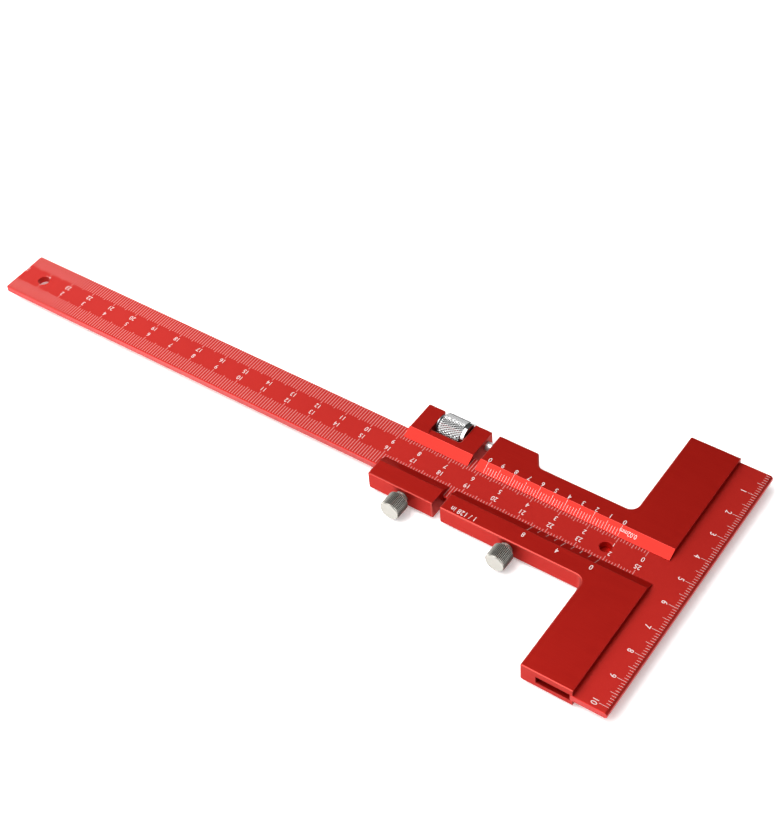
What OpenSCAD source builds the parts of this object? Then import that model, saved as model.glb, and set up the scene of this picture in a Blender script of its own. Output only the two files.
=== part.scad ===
// Marking T square with a sliding vernier fence and a fine-feed carriage.
// The origin is where the beam's centre line meets the outer edge of the crossbar, half way
// through the blade. +X runs along the beam and out through the crossbar, +Z is the scale side.

/* [Blade] */
// Length of the blade, from its free end to the outer edge of the crossbar
blade_l = 268; // [240:1:320]
// Thickness of the blade
blade_t = 2.5; // [2:0.1:2.8]
// Width of the beam
beam_w = 18.2; // [16:0.1:19]
// Length of the crossbar, tip to tip
crossbar_l = 102; // [80:1:140]
// Width of the crossbar
crossbar_w = 12; // [9:0.5:13]
// Bevel along both faces of the crossbar's outer edge
outer_bevel = 0.7; // [0.2:0.1:0.9]
// Radius of the two holes on the beam's centre line
beam_hole_r = 2; // [1:0.1:2.5]
// Distance of the hanging hole from the beam's free end
hang_hole_inset = 9.7; // [6:0.1:14]
// Distance of the second hole from the crossbar's outer edge
inner_hole_inset = 29.7; // [26:0.1:34]

/* [Fence] */
// Setting of the fence: how far its front face stands behind the crossbar's outer edge
reading = 11.1; // [4:0.1:60]
// Thickness of the fence and of the carriage
slider_t = 6.8; // [6.2:0.1:8]
// Length of the fence's front face
fence_l = 102; // [80:1:140]
// Depth of the two wings, front to back
wing_d = 17.2; // [16:0.1:22]
// Length of the fence along the beam
fence_d = 68.4; // [62:0.1:80]
// Width of the fence's body across the beam
body_w = 30; // [29:0.1:34]
// Radius where the body runs into the wings
wing_fillet = 3; // [1:0.1:4]

/* [Feed boss] */
// Distance from the beam's centre line to the outer face of the boss
boss_y = 20; // [19.6:0.1:22]
// Length of the boss along the beam, at its outer face
boss_l = 14.4; // [13:0.1:18]
// Run of the slope at the front of the boss
boss_slope = 3.1; // [1:0.1:5]
// Radius at the foot of the slope
boss_fillet = 2.5; // [1:0.1:3]

/* [Reading window] */
// Width of the window between its two lips
window_w = 10.2; // [8:0.1:12]
// Width of the window at the top face
window_top_w = 17; // [14:0.1:18]
// Height of the square lip under each bevel
lip_h = 0.2; // [0.1:0.05:0.4]

/* [Carriage] */
// Length of the carriage along the beam
carriage_d = 24.1; // [22:0.1:30]
// Gap between the carriage and the fence
feed_gap = 2.7; // [2.6:0.1:4]
// Length of the nut window along the beam
nut_window_l = 11.3; // [11.2:0.1:12]
// Distance from the carriage's front face to the nut window
nut_window_front = 6.4; // [5:0.1:7]
// Distance from the beam's centre line to the bottom of the nut window
nut_window_y = 10.9; // [10.4:0.1:11.5]

/* [Fine feed] */
// Distance from the beam's centre line to the feed screw
feed_y = 16.65; // [16.6:0.05:16.9]
// Radius of the feed screw, an M3 thread
feed_r = 1.5; // [1.2:0.1:1.5]
// Length of the feed screw
feed_l = 36; // [35:0.5:36]
// Length of the feed screw held in the boss
feed_grip = 11.5; // [8:0.5:12]
// Radius of the feed nut
nut_r = 4.8; // [4:0.1:5]
// Length of the knurled part of the feed nut
nut_knurl_l = 7.9; // [6:0.1:7.9]
// Width of the groove beside the knurl
nut_groove_w = 0.45; // [0.3:0.05:0.6]
// Width of the plain collar on the feed nut
nut_collar_w = 1.25; // [0.8:0.05:1.3]

/* [Lock screws] */
// Radius of each knurled head
head_r = 3.5; // [3:0.1:4]
// Length of each knurled head
head_l = 5.8; // [4:0.1:8]
// Gap between each head and the side face
head_gap = 1.4; // [1:0.1:2]
// Radius of each threaded shank, an M4 thread
shank_r = 2; // [1.5:0.1:2]
// Distance of the fence's lock screw from the crossbar's outer edge, past the fence's setting
fence_lock_back = 44; // [36:0.1:50]
// Distance of the carriage's lock screw from the carriage's front face
carriage_lock_back = 11.2; // [10.5:0.1:12.5]

/* [Hidden] */
$fn = 72;
tiny = 0.02;              // gap between faces that touch in use
slip = 0.1;               // gap on each side of the blade inside the sliders
cut = 1;                  // how far a cutter runs past a face
lap = 0.5;                // how far a fillet is rooted in the corner that it fills

beam_half = beam_w / 2;
channel_half = beam_half + slip;
channel_h = blade_t + 2 * slip;
slider_half_t = slider_t / 2;
body_half = body_w / 2;

// places along X
fence_front = -reading;
fence_back = fence_front - fence_d;
wing_back = fence_front - wing_d;
slot_back = fence_front - crossbar_w - slip / 2;
carriage_front = fence_back - feed_gap;
carriage_back = carriage_front - carriage_d;
nut_window_x = carriage_front - nut_window_front;
nut_window_back = nut_window_x - nut_window_l;
nut_l = nut_knurl_l + nut_groove_w + nut_collar_w;
nut_end_gap = 0.2;
nut_front = nut_window_x - nut_end_gap;
nut_back = nut_front - nut_l;
feed_end = fence_back + feed_grip;
fence_lock_x = fence_front - fence_lock_back;
carriage_lock_x = carriage_front - carriage_lock_back;

// clamp strips, which the lock screws press on the beam's near edge
strip_t = 0.8;
strip_h = 2.4;
strip_travel = 0.7;       // one turn of an M4 thread
fence_strip_l = 24;
carriage_strip_l = 16;
strip_y = -beam_half - tiny;
strip_back = strip_y - strip_t;
pocket_back = strip_back - strip_travel - slip;
pocket_end_gap = 0.1;
screw_tip = strip_back - tiny;
screw_clearance = 0.06;

// feed screw, nut and washer
feed_clearance = 0.08;
nut_clearance = 0.05;
seat_clearance = 0.02;
nut_chamfer = 0.35;
groove_depth = 0.9;
washer_clearance = 0.15;
washer_r = 3.5;
washer_t = 0.3;
window_corner_r = 0.8;

// grub screw that holds the feed screw in the boss, let in from below
grub_r = 1.25;
grub_inset = 7;
grub_x = fence_back + grub_inset;
grub_socket_r = 0.75;
grub_socket_d = 1;

head_chamfer = 0.4;
tip_chamfer = 0.4;

blade_red = [0.80, 0.17, 0.15];
slider_red = [0.62, 0.10, 0.09];
nickel = [0.78, 0.77, 0.74];
bright_steel = [0.86, 0.86, 0.87];
spring_bronze = [0.72, 0.55, 0.32];
black_oxide = [0.13, 0.13, 0.14];

// A block between two X planes, two Y planes and two Z planes
module block(x, y, z) {
    translate([x[0], y[0], z[0]])
        cube([x[1] - x[0], y[1] - y[0], z[1] - z[0]]);
}

// The fillet in the hollow corner at p, between edges that leave it at two headings
module corner_fillet(p, heading_a, heading_b, r) {
    half = (heading_b - heading_a) / 2;
    middle = (heading_a + heading_b) / 2;
    run = r / tan(half);
    reach = r / sin(half);
    centre = p + reach * [cos(middle), sin(middle)];
    root = p - lap * [cos(middle), sin(middle)];
    difference() {
        polygon([root, p + run * [cos(heading_a), sin(heading_a)], centre,
                 p + run * [cos(heading_b), sin(heading_b)]]);
        translate(centre) circle(r);
    }
}

// A plate with the slider's thickness, centred on the blade
module slider_plate() {
    translate([0, 0, -slider_half_t]) linear_extrude(slider_t) children();
}

// The reading window: square lips over the beam, then bevels up to the top face
module window_cut(x) {
    lip_z = blade_t / 2;
    bevel_z = channel_h / 2 + lip_h;
    over = (slider_half_t + cut - bevel_z) / (slider_half_t - bevel_z);
    top_half = window_w / 2 + over * (window_top_w - window_w) / 2;
    translate([x[0], 0, 0]) rotate([90, 0, 90]) linear_extrude(x[1] - x[0])
        polygon([[-window_w / 2, lip_z], [window_w / 2, lip_z], [window_w / 2, bevel_z],
                 [top_half, slider_half_t + cut], [-top_half, slider_half_t + cut],
                 [-window_w / 2, bevel_z]]);
}

// The channel that the beam slides in, with the pocket for the clamp strip
module beam_channel(x, strip_x, strip_l) {
    pocket_l = strip_l + 2 * pocket_end_gap;
    block(x, [-channel_half, channel_half], [-channel_h / 2, channel_h / 2]);
    block([strip_x - pocket_l / 2, strip_x + pocket_l / 2], [pocket_back, 0],
          [-channel_h / 2, channel_h / 2]);
}

// The tapped hole for a lock screw, in from the near side face
module lock_bore(x) {
    translate([x, -beam_half, 0]) rotate([90, 0, 0])
        cylinder(r = shank_r + screw_clearance, h = body_half - beam_half + cut);
}

// A round hole along X on the feed screw's axis
module feed_bore(x, r) {
    translate([x[0], feed_y, 0]) rotate([0, 90, 0]) cylinder(r = r, h = x[1] - x[0]);
}

module t_blade() {
    color(blade_red) difference() {
        translate([0, 0, -blade_t / 2]) linear_extrude(blade_t) {
            translate([-blade_l, -beam_half]) square([blade_l - crossbar_w / 2, beam_w]);
            translate([-crossbar_w, -crossbar_l / 2]) square([crossbar_w, crossbar_l]);
        }
        for (x = [-blade_l + hang_hole_inset, -inner_hole_inset])
            translate([x, 0, -blade_t]) cylinder(r = beam_hole_r, h = 2 * blade_t);
        for (side = [-1, 1])
            scale([1, 1, side]) translate([0, crossbar_l / 2 + cut, 0]) rotate([90, 0, 0])
                linear_extrude(crossbar_l + 2 * cut)
                    polygon([[-outer_bevel, blade_t / 2], [0, blade_t / 2 - outer_bevel],
                             [cut, blade_t / 2 - outer_bevel], [cut, blade_t / 2 + cut],
                             [-outer_bevel, blade_t / 2 + cut]]);
    }
}

module fence_outline() {
    boss_end = fence_back + boss_l;
    slope_foot = [boss_end + boss_slope, body_half];
    slope_heading = 180 - atan2(boss_y - body_half, boss_slope);
    translate([wing_back, -fence_l / 2]) square([wing_d, fence_l]);
    translate([fence_back, -body_half]) square([fence_d, body_w]);
    polygon([[fence_back, 0], [slope_foot[0], 0], slope_foot, [boss_end, boss_y],
             [fence_back, boss_y]]);
    corner_fillet(slope_foot, 0, slope_heading, boss_fillet);
    corner_fillet([wing_back, body_half], 90, 180, wing_fillet);
    corner_fillet([wing_back, -body_half], 180, 270, wing_fillet);
}

module fence_body() {
    color(slider_red) difference() {
        slider_plate() fence_outline();
        beam_channel([fence_back - cut, fence_front], fence_lock_x, fence_strip_l);
        block([slot_back, fence_front + cut], [-fence_l / 2 - cut, fence_l / 2 + cut],
              [-channel_h / 2, channel_h / 2]);
        window_cut([fence_back - cut, fence_front + cut]);
        lock_bore(fence_lock_x);
        feed_bore([fence_back - cut, feed_end + cut / 2], feed_r + seat_clearance);
        translate([grub_x, feed_y, -slider_half_t - cut])
            cylinder(r = grub_r + seat_clearance, h = slider_half_t + cut);
    }
}

module carriage_outline() {
    difference() {
        translate([carriage_back, -body_half])
            square([carriage_d, body_half + boss_y]);
        translate([nut_window_back, nut_window_y])
            square([nut_window_l, boss_y - nut_window_y + cut]);
    }
    corner_fillet([nut_window_back, nut_window_y], 0, 90, window_corner_r);
    corner_fillet([nut_window_x, nut_window_y], 90, 180, window_corner_r);
}

module carriage_body() {
    color(slider_red) difference() {
        slider_plate() carriage_outline();
        beam_channel([carriage_back - cut, carriage_front + cut], carriage_lock_x,
                     carriage_strip_l);
        window_cut([carriage_back - cut, carriage_front + cut]);
        lock_bore(carriage_lock_x);
        feed_bore([carriage_back - cut, carriage_front + cut], feed_r + feed_clearance);
    }
}

// A flat spring-bronze strip between a lock screw's tip and the beam's near edge
module clamp_strip(x, l) {
    color(spring_bronze)
        block([x - l / 2, x + l / 2], [strip_back, strip_y], [-strip_h / 2, strip_h / 2]);
}

module fence_clamp_strip() {
    clamp_strip(fence_lock_x, fence_strip_l);
}

module carriage_clamp_strip() {
    clamp_strip(carriage_lock_x, carriage_strip_l);
}

// A knurled thumb screw turned from one bar, its axis along -Y
module lock_screw(x) {
    shank_l = body_half + screw_tip + head_gap;
    end = shank_l + head_l;
    color(nickel) translate([x, screw_tip, 0]) rotate([90, 0, 0]) rotate_extrude()
        polygon([[0, 0], [shank_r - tip_chamfer, 0], [shank_r, tip_chamfer],
                 [shank_r, shank_l], [head_r - head_chamfer, shank_l],
                 [head_r, shank_l + head_chamfer], [head_r, end - head_chamfer],
                 [head_r - head_chamfer, end], [0, end]]);
}

module fence_lock_screw() {
    lock_screw(fence_lock_x);
}

module carriage_lock_screw() {
    lock_screw(carriage_lock_x);
}

module feed_screw() {
    color(bright_steel) translate([feed_end - feed_l, feed_y, 0]) rotate([0, 90, 0])
        rotate_extrude()
            polygon([[0, 0], [feed_r - tip_chamfer, 0], [feed_r, tip_chamfer],
                     [feed_r, feed_l - tip_chamfer], [feed_r - tip_chamfer, feed_l],
                     [0, feed_l]]);
}

module feed_screw_grub() {
    grub_l = slider_half_t - feed_r - tiny;
    color(black_oxide) translate([grub_x, feed_y, -slider_half_t]) difference() {
        cylinder(r = grub_r, h = grub_l);
        translate([0, 0, -cut]) cylinder(r = grub_socket_r, h = grub_socket_d + cut, $fn = 6);
    }
}

// The feed nut: a knurled grip, a groove, and a plain collar that bears on the window's front
module feed_nut() {
    bore = feed_r + nut_clearance;
    groove_r = nut_r - groove_depth;
    collar = nut_knurl_l + nut_groove_w;
    color(bright_steel) translate([nut_back, feed_y, 0]) rotate([0, 90, 0]) rotate_extrude()
        polygon([[bore, 0], [nut_r - nut_chamfer, 0], [nut_r, nut_chamfer],
                 [nut_r, nut_knurl_l], [groove_r, nut_knurl_l], [groove_r, collar],
                 [nut_r, collar], [nut_r, nut_l - nut_chamfer],
                 [nut_r - nut_chamfer, nut_l], [bore, nut_l]]);
}

// A dished spring washer that takes up the play between the nut and its window
module nut_spring_washer() {
    seat = nut_window_back + tiny;
    dish = nut_back - tiny - seat - washer_t;
    bore = feed_r + washer_clearance;
    color(bright_steel) translate([seat, feed_y, 0]) rotate([0, 90, 0]) rotate_extrude()
        polygon([[bore, dish], [washer_r, 0], [washer_r, washer_t],
                 [bore, dish + washer_t]]);
}

t_blade();
fence_body();
fence_clamp_strip();
fence_lock_screw();
carriage_body();
carriage_clamp_strip();
carriage_lock_screw();
feed_screw();
feed_screw_grub();
feed_nut();
nut_spring_washer();
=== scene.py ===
import math

import bmesh
import bpy
from mathutils import Matrix, Vector


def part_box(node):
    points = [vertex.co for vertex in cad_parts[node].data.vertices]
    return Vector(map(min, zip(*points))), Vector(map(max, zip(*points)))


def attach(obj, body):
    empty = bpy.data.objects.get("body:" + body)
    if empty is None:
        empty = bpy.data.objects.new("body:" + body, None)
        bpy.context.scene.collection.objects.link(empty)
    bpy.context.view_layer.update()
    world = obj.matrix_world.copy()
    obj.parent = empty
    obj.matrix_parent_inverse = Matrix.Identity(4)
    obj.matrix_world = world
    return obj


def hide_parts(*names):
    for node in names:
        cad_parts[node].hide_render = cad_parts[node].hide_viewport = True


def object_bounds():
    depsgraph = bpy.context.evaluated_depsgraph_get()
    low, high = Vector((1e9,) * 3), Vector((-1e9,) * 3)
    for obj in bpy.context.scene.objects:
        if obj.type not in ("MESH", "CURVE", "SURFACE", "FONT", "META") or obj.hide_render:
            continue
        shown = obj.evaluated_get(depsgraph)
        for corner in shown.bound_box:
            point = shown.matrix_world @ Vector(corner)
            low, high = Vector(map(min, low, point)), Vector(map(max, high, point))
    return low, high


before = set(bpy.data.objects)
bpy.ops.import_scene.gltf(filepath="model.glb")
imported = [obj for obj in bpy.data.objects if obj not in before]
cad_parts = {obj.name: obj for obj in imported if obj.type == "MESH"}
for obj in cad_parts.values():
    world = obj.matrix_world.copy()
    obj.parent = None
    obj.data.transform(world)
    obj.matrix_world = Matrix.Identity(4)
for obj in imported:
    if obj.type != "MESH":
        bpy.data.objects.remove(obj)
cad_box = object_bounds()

# ---------------------------------------------------------------------------------------------
# Camera. It looks down on the near side of the beam from past the crossbar, and is rolled a
# little, so that the beam runs up to the left.
# ---------------------------------------------------------------------------------------------
MM = 0.001

camera_place = Vector((120.33, -286.29, 403.57)) * MM
camera_target = Vector((-116.22, 11.50, 1.25)) * MM
camera_roll = math.radians(-5.1)
camera_lens = 74.62

camera_data = bpy.data.cameras.new("camera")
camera_data.lens = camera_lens
camera_data.clip_start = 0.01
camera = bpy.data.objects.new("camera", camera_data)
bpy.context.scene.collection.objects.link(camera)
camera.location = camera_place
level_view = (camera_target - camera_place).to_track_quat("-Z", "Y")
camera.rotation_mode = "QUATERNION"
camera.rotation_quaternion = level_view @ Matrix.Rotation(camera_roll, 3, "Z").to_quaternion()
bpy.context.scene.camera = camera

# ---------------------------------------------------------------------------------------------
# Studio. A white table in a dim room, with a large soft box above the near left, a smaller one
# low on the near side, another of that size on the left, and a wide one far overhead.
# ---------------------------------------------------------------------------------------------
floor_half = 4.0
floor_glow = 0.30
fill_light = 0.10
lit_point = Vector((-0.1, 0, 0))
soft_boxes = {
    # name: (place in metres, size in metres, power in watts)
    "key_box": ((-0.55, -0.40, 1.00), 1.2, 24),
    "near_box": ((-0.55, -1.00, 0.65), 0.9, 4.0),
    "left_box": ((-1.20, 0.55, 0.80), 0.9, 3.4),
    "top_box": ((0.10, -0.20, 2.20), 3.0, 27),
}


class Wire:
    """A value on its way through a shader. Sums on it add Math nodes, so 1 - mask is a wire too."""

    def __init__(self, finish, socket):
        self.finish = finish
        self.socket = socket

    def joined(self, operation, first, second):
        return self.finish.node("Math", {"operation": operation}, {0: first, 1: second})

    def __add__(self, other):
        return self.joined("ADD", self, other)

    def __sub__(self, other):
        return self.joined("SUBTRACT", self, other)

    def __rsub__(self, other):
        return self.joined("SUBTRACT", other, self)

    def __mul__(self, other):
        return self.joined("MULTIPLY", self, other)

    __radd__ = __add__
    __rmul__ = __mul__


class Finish:
    """One procedural material, with its main shader in body."""

    def __init__(self, name, **constants):
        self.material = bpy.data.materials.new(name)
        self.material.use_nodes = True
        self.tree = self.material.node_tree
        self.tree.nodes.clear()
        self.body = self.tree.nodes.new("ShaderNodeBsdfPrincipled")
        output = self.tree.nodes.new("ShaderNodeOutputMaterial")
        self.tree.links.new(self.body.outputs[0], output.inputs[0])
        self.feed(self.body, {key.replace("_", " "): value for key, value in constants.items()})

    def feed(self, node, sockets):
        for key, value in sockets.items():
            if isinstance(value, Wire):
                self.tree.links.new(value.socket, node.inputs[key])
            else:
                node.inputs[key].default_value = value

    def node(self, kind, settings, sockets, out=0):
        """Adds one node: its type, its settings, its sockets' values or wires, and the output."""
        made = self.tree.nodes.new("ShaderNode" + kind)
        for key, value in settings.items():
            setattr(made, key, value)
        self.feed(made, sockets)
        return Wire(self, made.outputs[out])

    def place(self):
        """Where a point lies on the piece, in metres."""
        return self.node("TexCoord", {}, {}, out="Object")

    def stretched(self, scale):
        """The point with each axis scaled, for grain that runs one way."""
        settings = {"operation": "MULTIPLY"}
        return self.node("VectorMath", settings, {0: self.place(), 1: scale})

    def noise(self, size, detail=2.0, vector=None):
        """Soft noise around 0, whose lumps are about size across."""
        sockets = {"Vector": vector or self.place(), "Scale": 1 / size, "Detail": detail}
        return self.node("TexNoise", {}, sockets) - 0.5

    def mixed(self, share, first, second):
        """Two colours mixed by share."""
        settings = {"data_type": "RGBA"}
        return self.node("Mix", settings, {0: share, 6: first, 7: second}, out=2)

    def bumped(self, height, depth):
        """The normal over a relief that is depth deep."""
        return self.node("Bump", {}, {"Height": height, "Distance": depth})


floor_finish = Finish("studio_table", Base_Color=(0.9, 0.9, 0.9, 1), Emission_Color=(1, 1, 1, 1),
                      Emission_Strength=floor_glow)
floor_cloud = floor_finish.noise(0.4)
floor_finish.feed(floor_finish.body, {
    "Roughness": 0.8 + floor_cloud * 0.1,
    "Normal": floor_finish.bumped(floor_finish.noise(0.002), 0.00002),
})

floor_mesh = bpy.data.meshes.new("studio_table")
corners = [(-1, -1), (1, -1), (1, 1), (-1, 1)]
floor_z = cad_box[0].z
floor_corners = [(x * floor_half, y * floor_half, floor_z) for x, y in corners]
floor_mesh.from_pydata(floor_corners, [], [(0, 1, 2, 3)])
floor_mesh.materials.append(floor_finish.material)
floor = bpy.data.objects.new("studio_table", floor_mesh)
bpy.context.scene.collection.objects.link(floor)

for name, (place, size, power) in soft_boxes.items():
    box_data = bpy.data.lights.new(name, "AREA")
    box_data.shape = "SQUARE"
    box_data.size = size
    box_data.energy = power
    box_light = bpy.data.objects.new(name, box_data)
    bpy.context.scene.collection.objects.link(box_light)
    box_light.location = place
    box_light.rotation_euler = (lit_point - Vector(place)).to_track_quat("-Z", "Y").to_euler()
    box_light.visible_camera = False

world = bpy.data.worlds.new("studio_room")
world.use_nodes = True
world.node_tree.nodes["Background"].inputs["Color"].default_value = (1, 1, 1, 1)
world.node_tree.nodes["Background"].inputs["Strength"].default_value = fill_light
bpy.context.scene.world = world
bpy.context.scene.view_settings.view_transform = "Standard"

# ---------------------------------------------------------------------------------------------
# The T blade: beam and crossbar cut from one plate of aluminium, bead-blasted and anodised
# bright red. Every edge is broken a little, and the crossbar's outer edge has its own bevel.
# ---------------------------------------------------------------------------------------------
blade_edge = 0.14
blade_hole_edge = 0.10
longest_hole_facet = 0.5
same_place = 0.01
weld_gap = 0.001
flat_angle = math.radians(0.5)
least_step = math.radians(25)


def settled(piece):
    """Makes the piece's modifiers part of its mesh."""
    graph = bpy.context.evaluated_depsgraph_get()
    made = bpy.data.meshes.new_from_object(piece.evaluated_get(graph))
    piece.modifiers.clear()
    piece.data = made


def softened(node, name, edge_width, *finishes):
    """A copy of a CAD node with whole flat faces and its outer edges rounded.

    edge_width gives an edge's width in millimetres. The rounded edges take the last of the
    finishes, and the rest takes the first."""
    bm = bmesh.new()
    bm.from_mesh(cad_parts[node].data)
    bmesh.ops.remove_doubles(bm, verts=bm.verts, dist=weld_gap * MM)
    bmesh.ops.dissolve_limit(bm, angle_limit=flat_angle, verts=bm.verts, edges=bm.edges)
    bm.normal_update()
    weight = bm.edges.layers.float.new("bevel_weight_edge")
    widths = {}
    for edge in bm.edges:
        if edge.is_convex and edge.calc_face_angle(0) > least_step:
            widths[edge] = edge_width(edge)
    widest = max(widths.values())
    for edge, width in widths.items():
        edge[weight] = width / widest
    mesh = bpy.data.meshes.new(name)
    bm.to_mesh(mesh)
    bm.free()
    mesh.shade_smooth()
    mesh.set_sharp_from_angle(angle=least_step)
    for finish in finishes:
        mesh.materials.append(finish.material)
    piece = bpy.data.objects.new(name, mesh)
    bpy.context.scene.collection.objects.link(piece)
    rounding = piece.modifiers.new("rounding", "BEVEL")
    rounding.limit_method = "WEIGHT"
    rounding.width = widest * MM
    rounding.segments = 3
    rounding.use_clamp_overlap = False
    rounding.harden_normals = True
    rounding.material = len(finishes) - 1
    settled(piece)
    return piece


blade_low, blade_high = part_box("t_blade")
blade_top = blade_high.z


def blade_width(edge):
    flat = abs(edge.verts[0].co.z - edge.verts[1].co.z) < same_place * MM
    hole = edge.calc_length() < longest_hole_facet * MM
    return blade_hole_edge if flat and hole else blade_edge


blade_red = Finish("blade_anodised", Metallic=0.7, Coat_Weight=0.1, Coat_Roughness=0.35)
blade_grain = blade_red.noise(0.35 * MM, detail=3)
blade_cloud = blade_red.noise(45 * MM)
blade_shade = 0.5 + blade_grain * 0.7 + blade_cloud * 0.5
blade_red.feed(blade_red.body, {
    "Base Color": blade_red.mixed(blade_shade, (0.425, 0.0080, 0.0044, 1), (0.52, 0.0160, 0.0088, 1)),
    "Roughness": 0.42 + blade_grain * 0.16 + blade_cloud * 0.08,
    "Normal": blade_red.bumped(blade_grain, 0.008 * MM),
})

blade = softened("t_blade", "blade_plate", blade_width, blade_red)
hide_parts("t_blade")
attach(blade, "blade")

# ---------------------------------------------------------------------------------------------
# The blade's scales, burnt through the dye by laser: nearly white numbers, and paler red lines
# on the beam. The beam has a scale along each edge, numbered the opposite way round from the
# other, and the crossbar has one on its outer edge.
# ---------------------------------------------------------------------------------------------
mark_proud = 0.006
mark_sunk = 0.02
mark_weld_gap = 0.0005
letter_width = 0.86
letter_thinned = 0.003
capital_share = 0.71


class Marking:
    """Laser marks on one flat face, laid out in millimetres on that face's own x and y."""

    def __init__(self, name, face):
        self.name = name
        self.face = face
        self.bm = bmesh.new()

    def tick(self, x, start, end, width):
        """A line across the scale at x, from start to end along the face's y."""
        box = bmesh.ops.create_cube(self.bm, size=1)
        for face in {face for vert in box["verts"] for face in vert.link_faces}:
            face.material_index = 1
        middle = Vector((x, (start + end) / 2, (mark_proud - mark_sunk) / 2))
        size = Vector((width, abs(end - start), mark_proud + mark_sunk))
        move = self.face @ Matrix.Translation(middle) @ Matrix.Diagonal((*size, 1))
        bmesh.ops.transform(self.bm, matrix=move, verts=box["verts"])

    def text(self, words, x, y, height, turn=180, spacing=1.0):
        """Words centred on x, y, with capitals as high as height."""
        curve = bpy.data.curves.new("lettering", "FONT")
        curve.body = words
        curve.size = height / capital_share
        curve.align_x = "CENTER"
        curve.align_y = "CENTER"
        curve.space_character = spacing
        curve.resolution_u = 4
        curve.offset = -letter_thinned
        curve.extrude = (mark_proud + mark_sunk) / 2
        holder = bpy.data.objects.new("lettering", curve)
        letters = holder.to_mesh()
        middle = Vector((x, y, (mark_proud - mark_sunk) / 2))
        spin = Matrix.Rotation(math.radians(turn), 4, "Z") @ Matrix.Diagonal((letter_width, 1, 1, 1))
        letters.transform(self.face @ Matrix.Translation(middle) @ spin)
        self.bm.from_mesh(letters)
        holder.to_mesh_clear()
        bpy.data.objects.remove(holder)
        bpy.data.curves.remove(curve)

    def finished(self, body, slot, *finishes, blanks=()):
        """Makes the marks one piece, with none where one of the blanks is.

        Words take the first of the finishes and ticks take the last."""
        bmesh.ops.remove_doubles(self.bm, verts=self.bm.verts, dist=mark_weld_gap * MM)
        mesh = bpy.data.meshes.new(self.name)
        self.bm.to_mesh(mesh)
        self.bm.free()
        mesh.materials.append(finishes[0].material)
        mesh.materials.append(finishes[-1].material)
        piece = bpy.data.objects.new(self.name, mesh)
        bpy.context.scene.collection.objects.link(piece)
        for blank in blanks:
            missing = piece.modifiers.new("missing", "BOOLEAN")
            missing.object = blank
            missing.solver = "EXACT"
        settled(piece)
        for blank in blanks:
            bpy.data.objects.remove(blank)
        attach(piece, body)


def face_frame(origin, along, up):
    """The face through origin, in millimetres, whose x runs along and whose y runs up."""
    normal = along.cross(up).normalized()
    turn = Matrix((along.normalized(), up.normalized(), normal)).transposed().to_4x4()
    return Matrix.Translation(origin) @ turn @ Matrix.Scale(MM, 4)


mark_white = Finish("laser_mark", Metallic=0.0, IOR=1.5)
mark_grain = mark_white.noise(0.12 * MM, detail=3)
mark_white.feed(mark_white.body, {
    "Base Color": mark_white.mixed(0.5 + mark_grain, (0.52, 0.42, 0.41, 1), (0.66, 0.62, 0.61, 1)),
    "Roughness": 0.55 + mark_grain * 0.2,
    "Normal": mark_white.bumped(mark_grain, 0.003 * MM),
})

mark_line = Finish("laser_line", Metallic=0.45, IOR=1.5)
line_grain = mark_line.noise(0.12 * MM, detail=3)
mark_line.feed(mark_line.body, {
    "Base Color": mark_line.mixed(0.5 + line_grain, (0.53, 0.150, 0.140, 1), (0.61, 0.205, 0.195, 1)),
    "Roughness": 0.5 + line_grain * 0.2,
    "Normal": mark_line.bumped(line_grain, 0.003 * MM),
})

blade_points = [vert.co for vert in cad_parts["t_blade"].data.vertices]
beam_edge = max(point.y for point in blade_points if point.x < blade_low.x / 2) / MM
beam_end = blade_low.x / MM
scale_zero = -18
centimetres = 25
tick_gap = 0.1
lower_tick_gap = 0.4
beam_mark_width = 0.28
beam_tick, beam_tick_5, beam_tick_10 = 5.1, 5.6, 6.05
upper_row, lower_row = 1.68, -1.59
beam_letter = 1.8
x_axis, y_axis = Vector((1, 0, 0)), Vector((0, 1, 0))

beam_scales = Marking("beam_scales", face_frame(Vector((0, 0, blade_top)), x_axis, y_axis))
for mm in range(10 * centimetres):
    length = beam_tick_10 if mm % 10 == 0 else beam_tick_5 if mm % 5 == 0 else beam_tick
    lower = beam_end + 10 * centimetres - mm
    beam_scales.tick(scale_zero - mm, beam_edge - tick_gap, beam_edge - length, beam_mark_width)
    beam_scales.tick(lower, lower_tick_gap - beam_edge, length - beam_edge, beam_mark_width)
for cm in range(centimetres + 1):
    beam_scales.text(str(cm), scale_zero - 10 * cm, upper_row, beam_letter)
for cm in range(1, centimetres + 1):
    beam_scales.text(str(cm), beam_end + 10 * cm, lower_row, beam_letter)


def blank_at(x, make, **size):
    """A solid round x on the beam, inside which nothing is marked."""
    bm = bmesh.new()
    make(bm, matrix=Matrix.Translation((x, 0, 0)), **size)
    mesh = bpy.data.meshes.new("blank")
    bm.to_mesh(mesh)
    bm.free()
    solid = bpy.data.objects.new("blank", mesh)
    bpy.context.scene.collection.objects.link(solid)
    solid.scale = (MM, MM, MM)
    solid.location = (0, 0, blade_top)
    return solid


beam_holes = (-258.3, -29.7)
hole_blank = {"cap_ends": True, "segments": 48, "radius1": 2.15, "radius2": 2.15, "depth": 1}
end_blank_size = 8
end_margin = 0.15
end_blank_x = beam_end + end_margin - end_blank_size / 2

blanks = [blank_at(x, bmesh.ops.create_cone, **hole_blank) for x in beam_holes]
blanks.append(blank_at(end_blank_x, bmesh.ops.create_cube, size=end_blank_size))
beam_scales.finished("blade", "blade_anodised", mark_white, mark_line, blanks=blanks)

crossbar_zero = 51.1
crossbar_start = -0.65
crossbar_mark_width = 0.09
crossbar_tick, crossbar_tick_5, crossbar_tick_10 = -2.0, -3.0, -3.75
crossbar_row = -5.2
crossbar_letter = 2.0

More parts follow.
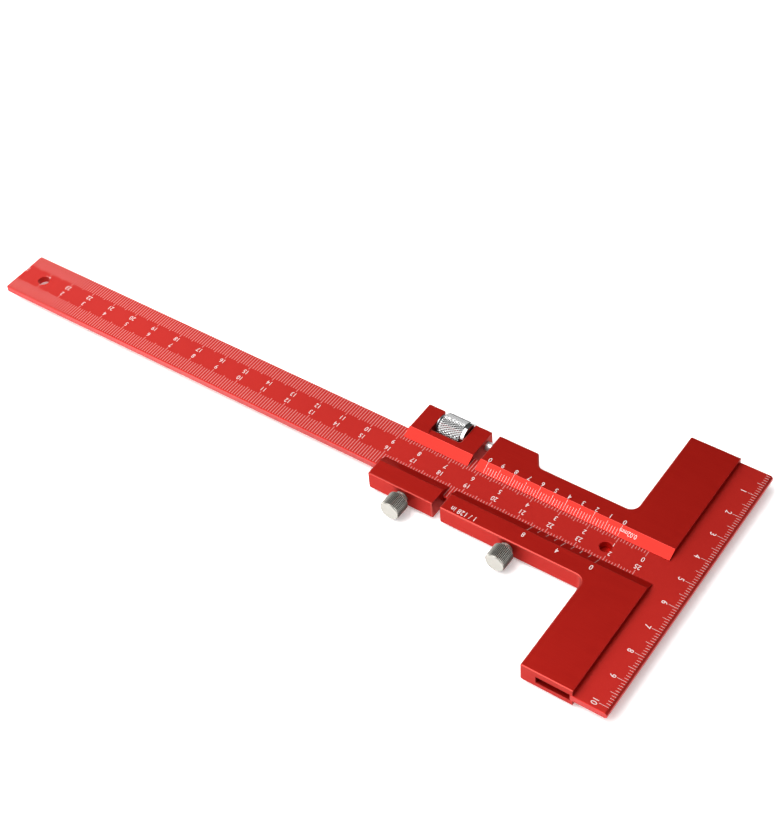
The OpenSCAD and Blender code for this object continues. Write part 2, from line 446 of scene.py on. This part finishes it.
crossbar_scale = Marking("crossbar_scale", face_frame(Vector((0, 0, blade_top)), -y_axis, x_axis))
for mm in range(1, 101):
    end = crossbar_tick_10 if mm % 10 == 0 else crossbar_tick_5 if mm % 5 == 0 else crossbar_tick
    crossbar_scale.tick(mm - crossbar_zero, crossbar_start, end, crossbar_mark_width)
for cm in range(1, 11):
    crossbar_scale.text(str(cm), 10 * cm - crossbar_zero, crossbar_row, crossbar_letter, turn=0)
crossbar_scale.finished("blade", "blade_anodised", mark_white)

# ---------------------------------------------------------------------------------------------
# The fence: a T-shaped block of aluminium milled from the solid, with the beam's channel, the
# reading window and the feed boss, then blasted fine and anodised a deeper red.
# ---------------------------------------------------------------------------------------------
slider_edge = 0.5
slider_small_edge = 0.06
nearly_full_height = 0.95
faces_forward = 0.9
fence_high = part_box("fence_body")[1]
slider_top = fence_high.z


def slider_width(edge):
    """Wide on the corners and on the outer edges that are handled, and narrow on the rest."""
    a, b = edge.verts[0].co, edge.verts[1].co
    on_top = min(abs(a.z), abs(b.z)) > slider_top - same_place * MM
    inner = max(abs(a.y), abs(b.y)) < beam_edge * MM
    upright = abs(a.z - b.z) > 2 * nearly_full_height * slider_top
    forward = max(face.normal.x for face in edge.link_faces) > faces_forward
    if upright or (on_top and not inner and not forward):
        return slider_edge
    return slider_small_edge


def slider_finish(name, deep, pale):
    """Satin anodising over fine milling lines that run along the beam."""
    made = Finish(name, Metallic=0.7, Specular_Tint=(0.85, 0.55, 0.52, 1), Coat_Weight=0.03,
                  Coat_Roughness=0.35)
    grain = made.noise(0.2 * MM, detail=3)
    cloud = made.noise(30 * MM)
    lines = made.noise(0.3 * MM, detail=3, vector=made.stretched((0.03, 1, 1)))
    made.feed(made.body, {
        "Base Color": made.mixed(0.5 + grain * 0.6 + cloud * 0.5 + lines * 0.5, deep, pale),
        "Roughness": 0.38 + grain * 0.10 + lines * 0.12,
        "Normal": made.bumped(grain * 0.6 + lines * 0.6, 0.008 * MM),
    })
    return made


slider_red = slider_finish("slider_anodised", (0.33, 0.0046, 0.0022, 1), (0.425, 0.0104, 0.0050, 1))
# The rounded edges take a lighter, pinker red: thinner dye at the edges and a painted highlight along them.
slider_edge_dye_and_highlight = slider_finish("slider_thin_dye_and_painted_highlight", (0.32, 0.024, 0.018, 1), (0.43, 0.050, 0.040, 1))

fence = softened("fence_body", "fence_block", slider_width, slider_red, slider_edge_dye_and_highlight)
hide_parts("fence_body")
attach(fence, "fence")

# ---------------------------------------------------------------------------------------------
# The fence's verniers, laser-marked on the two bevels of the reading window: fifty divisions
# for the millimetre scale on the far bevel, and eight for inches on the near one.
# ---------------------------------------------------------------------------------------------
bevel_foot = Vector((0, 5.1, 1.55)) * MM
bevel_head = Vector((0, 8.5, slider_top / MM)) * MM
bevel_up = bevel_head - bevel_foot
bevel_length = bevel_up.length / MM
vernier_zero_back = 17.6
vernier_zero = fence_high.x / MM - vernier_zero_back
vernier_divisions = 50
vernier_step = 0.956
vernier_mark_width = 0.09
vernier_letter = 1.8
long_tick, middle_tick, short_tick = 0.97, 0.8, 0.6
unit_letter = 1.5
unit_forward = 2.6
unit_row = 0.55
top_row = 9.65
slider_face = face_frame(Vector((0, 0, slider_top)), x_axis, y_axis)

millimetre_vernier = Marking("millimetre_vernier", face_frame(bevel_foot, x_axis, bevel_up))
for division in range(vernier_divisions + 1):
    share = long_tick if division % 10 == 0 else middle_tick if division % 5 == 0 else short_tick
    x = vernier_zero - vernier_step * division
    millimetre_vernier.tick(x, tick_gap, share * bevel_length, vernier_mark_width)
millimetre_vernier.text("0.02mm", vernier_zero + unit_forward, unit_row * bevel_length, unit_letter)
millimetre_vernier.face = slider_face
for fifth in range(11):
    x = vernier_zero - 5 * vernier_step * fifth
    millimetre_vernier.text(str(fifth % 10), x, top_row, vernier_letter)
millimetre_vernier.finished("fence", "slider_anodised", mark_white)

inch_step = 2.925
inch_divisions = 8
inch_row = -10.4
inch_note = (-71.7, -13.0)
inch_note_letter = 1.9
inch_note_spacing = 1.04

near_foot = Vector((bevel_foot.x, -bevel_foot.y, bevel_foot.z))
near_up = Vector((0, -bevel_up.y, bevel_up.z))
inch_vernier = Marking("inch_vernier", face_frame(near_foot, -x_axis, near_up))
for division in range(inch_divisions + 1):
    share = long_tick if division % 4 == 0 else short_tick
    x = inch_step * division - vernier_zero
    inch_vernier.tick(x, tick_gap, share * bevel_length, vernier_mark_width)
inch_vernier.face = slider_face
for division in range(0, inch_divisions + 1, 4):
    inch_vernier.text(str(division), vernier_zero - inch_step * division, inch_row, vernier_letter)
inch_vernier.text("1 / 128 in", *inch_note, inch_note_letter, spacing=inch_note_spacing)
inch_vernier.finished("fence", "slider_anodised", mark_white)

# ---------------------------------------------------------------------------------------------
# The carriage: a short block of the same section as the fence's body, milled with an open
# window for the feed nut, and finished like the fence.
# ---------------------------------------------------------------------------------------------
carriage = softened("carriage_body", "carriage_block", slider_width, slider_red, slider_edge_dye_and_highlight)
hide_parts("carriage_body")
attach(carriage, "carriage")

# ---------------------------------------------------------------------------------------------
# The clamp strips: slips of rolled bronze between each lock screw and the beam's edge, so that
# the screws' tips don't mark the beam. Their corners are tumbled round.
# ---------------------------------------------------------------------------------------------
strip_edge = 0.12

bronze = Finish("spring_bronze", Metallic=1.0)
rolled = bronze.noise(0.25 * MM, detail=3, vector=bronze.stretched((0.04, 1, 1)))
tarnish = bronze.noise(4 * MM, detail=3)
bronze.feed(bronze.body, {
    "Base Color": bronze.mixed(0.5 + tarnish + rolled * 0.4, (0.42, 0.23, 0.09, 1), (0.72, 0.48, 0.24, 1)),
    "Roughness": 0.36 + tarnish * 0.3 + rolled * 0.15,
    "Normal": bronze.bumped(rolled, 0.004 * MM),
})

for node, body in (("fence_clamp_strip", "fence_strip"), ("carriage_clamp_strip", "carriage_strip")):
    strip = softened(node, node + "_rolled", lambda edge: strip_edge, bronze)
    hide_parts(node)
    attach(strip, body)

# ---------------------------------------------------------------------------------------------
# The two lock screws: M4 thumb screws turned from steel bar, with a straight knurl rolled
# round the head, then nickel-plated. The grooves of the knurl carry painted shade, a near-black finish.
# ---------------------------------------------------------------------------------------------
lock_shank_r = 2.0
lock_pitch = 0.7
lock_head_l = 5.8
lock_knurl_ridges = 40
lock_knurl_depth = 0.3
lock_chamfer = 0.4
lock_neck_depth = 0.45
lock_neck_l = 0.3
lock_runout = 6
face_edge = 0.08
face_edge_out, face_edge_in = 0.04, 0.06
face_dish = 0.05
face_dish_in = 0.5
hair = 0.001
bent_by = 0.0001
faces_along = 0.3
steps_per_ridge = 4


def turned(name, stations, segments, matrix, hollow=False):
    """A closed turned surface through stations, each its place along the axis and its radius.

    A radius is a number, or a function of the angle in turns. A ring of facets that would be
    bent is split into triangles along the diagonal whose ends lie at the same radius."""
    bm = bmesh.new()
    rings = []
    for along, radius in stations:
        ring = []
        for i in range(segments):
            turn = i / segments
            r = radius(turn) if callable(radius) else radius
            angle = 2 * math.pi * turn
            point = Vector((r * math.cos(angle), r * math.sin(angle), along))
            ring.append((bm.verts.new(point * MM), r))
        rings.append(ring)
    pairs = list(zip(rings, rings[1:] + rings[:1])) if hollow else list(zip(rings, rings[1:]))
    for low, high in pairs:
        for i in range(segments):
            (a, ra), (b, rb) = low[i - 1], low[i]
            (d, rd), (c, rc) = high[i - 1], high[i]
            if abs(ra + rc - rb - rd) < bent_by:
                bm.faces.new((a, b, c, d))
            elif abs(ra - rc) < abs(rb - rd):
                bm.faces.new((a, b, c))
                bm.faces.new((a, c, d))
            else:
                bm.faces.new((a, b, d))
                bm.faces.new((b, c, d))
    if not hollow:
        bm.faces.new([vert for vert, _ in reversed(rings[0])])
        bm.faces.new([vert for vert, _ in rings[-1]])
    bmesh.ops.transform(bm, matrix=matrix, verts=bm.verts)
    bmesh.ops.recalc_face_normals(bm, faces=bm.faces)
    mesh = bpy.data.meshes.new(name)
    bm.to_mesh(mesh)
    bm.free()
    mesh.shade_smooth()
    mesh.set_sharp_from_angle(angle=least_step)
    piece = bpy.data.objects.new(name, mesh)
    bpy.context.scene.collection.objects.link(piece)
    return piece


thread_depth_share = 0.61
thread_crest_end = 0.875
thread_flank = 0.625
thread_steps = 12


def thread(length, radius, pitch, chamfer):
    """Stations along a threaded rod with a chamfer at each end."""
    depth = thread_depth_share * pitch

    def at(along):
        end = min(along, length - along)
        limit = radius - max(0, chamfer - end)

        def r(turn):
            ridge = abs((along / pitch - turn) % 1 - 0.5) * 2
            height = min(1, max(0, (thread_crest_end - ridge) / thread_flank))
            return min(limit, radius - depth * (1 - height))

        return r

    count = round(length / pitch * thread_steps)
    return [(length * k / count, at(length * k / count)) for k in range(count + 1)]


nickel = Finish("nickel_screw", Metallic=0.6)
nickel_cloud = nickel.noise(1.5 * MM, detail=3)
nickel_grain = nickel.noise(0.08 * MM, detail=2)
nickel.feed(nickel.body, {
    "Base Color": nickel.mixed(0.5 + nickel_cloud, (0.37, 0.357, 0.32, 1), (0.46, 0.447, 0.405, 1)),
    "Roughness": 0.25 + nickel_cloud * 0.10,
    "Normal": nickel.bumped(nickel_grain, 0.003 * MM),
})


# Painted shade for the knurl's grooves: a near-black nickel laid on the groove side of each ridge.
nickel_painted_shade = Finish("nickel_painted_groove_shade", Metallic=0.5)
groove_shade_cloud = nickel_painted_shade.noise(1.5 * MM, detail=3)
nickel_painted_shade.feed(nickel_painted_shade.body, {
    "Base Color": nickel_painted_shade.mixed(0.5 + groove_shade_cloud, (0.020, 0.018, 0.016, 1), (0.050, 0.046, 0.040, 1)),
    "Roughness": 0.45 + groove_shade_cloud * 0.10,
})


def lock_screw(node, name, body):
    """A lock screw in place of its CAD node, from its tip out to its end face."""
    low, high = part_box(node)
    head_r = (high.x - low.x) / 2 / MM
    whole = (high.y - low.y) / MM
    shank = whole - lock_head_l

    def ridge(limit):
        def r(turn):
            share = abs((turn * lock_knurl_ridges) % 1 - 0.5) * 2
            return min(limit, head_r - lock_knurl_depth * share)
        return r

    stations = thread(shank, lock_shank_r, lock_pitch, lock_chamfer)[:-lock_runout]
    neck = lock_shank_r - lock_neck_depth
    rim = head_r - lock_chamfer
    stations += [
        (shank - lock_neck_l, neck), (shank, neck), (shank + hair, rim),
        (shank + lock_chamfer, ridge(head_r)),
        (whole - lock_chamfer, ridge(head_r)),
        (whole - face_edge, rim + face_edge_out),
        (whole, rim - face_edge_in),
        (whole - face_dish, rim - face_dish_in),
    ]
    tip = Matrix.Translation(((low.x + high.x) / 2, high.y, (low.z + high.z) / 2))
    outwards = tip @ Matrix.Rotation(math.radians(90), 4, "X")
    piece = turned(name, stations, steps_per_ridge * lock_knurl_ridges, outwards)
    piece.data.materials.append(nickel.material)
    piece.data.materials.append(nickel_painted_shade.material)
    # Facets on the groove side of each ridge take the painted groove shade.
    for facet in piece.data.polygons:
        away = facet.center - tip.translation
        depth = head_r - math.hypot(away.x, away.z) / MM
        on_side = abs(facet.normal.y) < faces_along
        facet.material_index = int(on_side and lock_knurl_depth / 2 < depth < lock_knurl_depth)
    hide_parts(node)
    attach(piece, body)


lock_screw("fence_lock_screw", "fence_thumb_screw", "fence_lock")
lock_screw("carriage_lock_screw", "carriage_thumb_screw", "carriage_lock")

# ---------------------------------------------------------------------------------------------
# The feed screw: stainless rod with an M3 thread rolled on the end that runs through the nut
# and the carriage. Its plain end is gripped in the fence's boss.
# ---------------------------------------------------------------------------------------------
feed_pitch = 0.5
feed_chamfer = 0.4
feed_thread_l = 19.0
feed_relief = 0.3
feed_relief_l = 0.6
feed_relief_slope = 0.2
feed_relief_step = 0.01
feed_segments = 48

stainless = Finish("bright_screw", Metallic=0.7)
stainless_grain = stainless.noise(0.3 * MM, detail=3)
stainless.feed(stainless.body, {
    "Base Color": stainless.mixed(0.5 + stainless_grain, (0.60, 0.60, 0.61, 1), (0.74, 0.74, 0.74, 1)),
    "Roughness": 0.34 + stainless_grain * 0.12,
    "Normal": stainless.bumped(stainless_grain, 0.002 * MM),
})

feed_low, feed_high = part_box("feed_screw")
feed_r = (feed_high.y - feed_low.y) / 2 / MM
feed_l = (feed_high.x - feed_low.x) / MM
feed_axis = Vector((feed_low.x, (feed_low.y + feed_high.y) / 2, (feed_low.z + feed_high.z) / 2))
along_x = Matrix.Rotation(math.radians(90), 4, "Y")
relief_end = feed_thread_l + feed_relief_l
feed_stations = thread(feed_thread_l, feed_r, feed_pitch, feed_chamfer)
feed_stations += [
    (feed_thread_l + feed_relief_step, feed_r - feed_relief), (relief_end, feed_r - feed_relief),
    (relief_end + feed_relief_slope, feed_r),
    (feed_l - feed_chamfer, feed_r), (feed_l, feed_r - feed_chamfer),
]
feed_place = Matrix.Translation(feed_axis) @ along_x
feed_screw = turned("feed_screw_threaded", feed_stations, feed_segments, feed_place)
feed_screw.data.materials.append(stainless.material)
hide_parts("feed_screw")
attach(feed_screw, "fence")

# ---------------------------------------------------------------------------------------------
# The grub screw that holds the feed screw in the boss: black oxide steel with a hexagon
# socket, let in from below.
# ---------------------------------------------------------------------------------------------
grub_edge = 0.08

black = Finish("black_oxide", Metallic=0.7)
black_cloud = black.noise(0.6 * MM, detail=3)
black.feed(black.body, {
    "Base Color": black.mixed(0.5 + black_cloud, (0.018, 0.018, 0.020, 1), (0.06, 0.06, 0.065, 1)),
    "Roughness": 0.42 + black_cloud * 0.2,
    "Normal": black.bumped(black_cloud, 0.003 * MM),
})
grub = softened("feed_screw_grub", "feed_screw_grub_socket", lambda edge: grub_edge, black)
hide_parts("feed_screw_grub")
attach(grub, "fence")

# ---------------------------------------------------------------------------------------------
# The feed nut: turned steel with a diamond knurl, a groove, and a plain polished collar, then
# bright-plated.
# ---------------------------------------------------------------------------------------------
nut_knurl_l = 7.9
nut_groove_w = 0.45
nut_groove_depth = 0.9
nut_chamfer = 0.18
nut_back_chamfer = 0.06
nut_back_step = 0.05
nut_bore_r = 1.55
nut_bore_edge = 0.2
collar_edge = 0.08
diamonds_round = 36
steps_per_diamond = 4
diamond_steps = 22
diamond_depth = 0.24
diamond_crest = 0.8

chrome = Finish("bright_nut", Metallic=1.0)
chrome_cloud = chrome.noise(1.2 * MM, detail=3)
chrome.feed(chrome.body, {
    "Base Color": chrome.mixed(0.5 + chrome_cloud, (0.42, 0.42, 0.42, 1), (0.52, 0.52, 0.52, 1)),
    "Roughness": 0.14 + chrome_cloud * 0.08,
    "Normal": chrome.bumped(chrome.noise(0.1 * MM), 0.001 * MM),
})

nut_low, nut_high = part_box("feed_nut")
nut_r = (nut_high.y - nut_low.y) / 2 / MM
nut_l = (nut_high.x - nut_low.x) / MM
nut_back_r = nut_r - diamond_depth - nut_back_step


def diamond(row, limit):
    """Radius round one row of the knurl, where two sets of helical grooves cross."""
    def r(turn):
        column = turn * diamonds_round * steps_per_diamond
        half = steps_per_diamond / 2
        from_grooves = [abs((column + way * row + half) % steps_per_diamond - half) for way in (-1, 1)]
        height = min(diamond_crest, min(from_grooves) / half)
        return min(limit, nut_r - diamond_depth * (1 - height / diamond_crest))
    return r


knurl_stations = []
for row in range(diamond_steps + 1):
    along = nut_knurl_l * row / diamond_steps
    limit = nut_r - max(0, nut_back_chamfer - along)
    knurl_stations.append((along, diamond(row, limit)))
groove_end = nut_knurl_l + nut_groove_w
groove_r = nut_r - nut_groove_depth
nut_stations = [(0, nut_bore_r + nut_bore_edge), (0, nut_back_r), *knurl_stations]
nut_stations += [
    (nut_knurl_l, groove_r), (groove_end, groove_r),
    (groove_end, nut_r - collar_edge), (groove_end + collar_edge, nut_r),
    (nut_l - nut_chamfer, nut_r), (nut_l, nut_r - nut_chamfer),
    (nut_l, nut_bore_r + nut_bore_edge), (nut_l - nut_bore_edge, nut_bore_r),
    (nut_bore_edge, nut_bore_r),
]
nut_place = Matrix.Translation((nut_low.x, feed_axis.y, feed_axis.z)) @ along_x
nut_segments = steps_per_diamond * diamonds_round
feed_nut = turned("feed_nut_knurled", nut_stations, nut_segments, nut_place, hollow=True)
feed_nut.data.materials.append(chrome.material)
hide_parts("feed_nut")
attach(feed_nut, "nut")

# ---------------------------------------------------------------------------------------------
# The spring washer: a dished ring of blued spring steel that takes up the play between the
# nut and the back of its window.
# ---------------------------------------------------------------------------------------------
washer_edge = 0.05

spring = Finish("spring_steel", Metallic=1.0)
spring_cloud = spring.noise(1.5 * MM, detail=3)
spring.feed(spring.body, {
    "Base Color": spring.mixed(0.5 + spring_cloud, (0.22, 0.24, 0.30, 1), (0.50, 0.48, 0.46, 1)),
    "Roughness": 0.3 + spring_cloud * 0.15,
    "Normal": spring.bumped(spring_cloud, 0.002 * MM),
})
washer = softened("nut_spring_washer", "nut_spring_washer_dished", lambda edge: washer_edge, spring)
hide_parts("nut_spring_washer")
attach(washer, "carriage")
